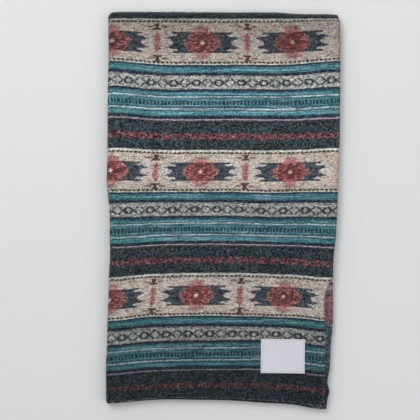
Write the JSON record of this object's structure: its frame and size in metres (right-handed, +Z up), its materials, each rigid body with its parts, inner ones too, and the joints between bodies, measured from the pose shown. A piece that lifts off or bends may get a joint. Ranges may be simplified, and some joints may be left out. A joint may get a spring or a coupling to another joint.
{
  "type": "folded throw blanket",
  "caption": "Woven throw blanket with stepped medallion bands and stripes, folded in thirds and then in half, with a plain sewn label near one corner.",
  "frame": {"origin": "centre of the folded blanket's footprint, on the surface that it lies on", "axes": "+X across the fold, towards the free side edge of the top panel; +Y up the folded length, towards the top fold; +Z up from the surface"},
  "size_m": [0.4287, 0.7257, 0.0227],
  "materials": {
    "cloth": "soft brushed weave, dark slate, teal, cream and rust",
    "label_tape": "smooth white satin tape"
  },
  "bodies": {
    "root": {"blanket": "cloth", "label": "label_tape"}
  },
  "joints": []
}
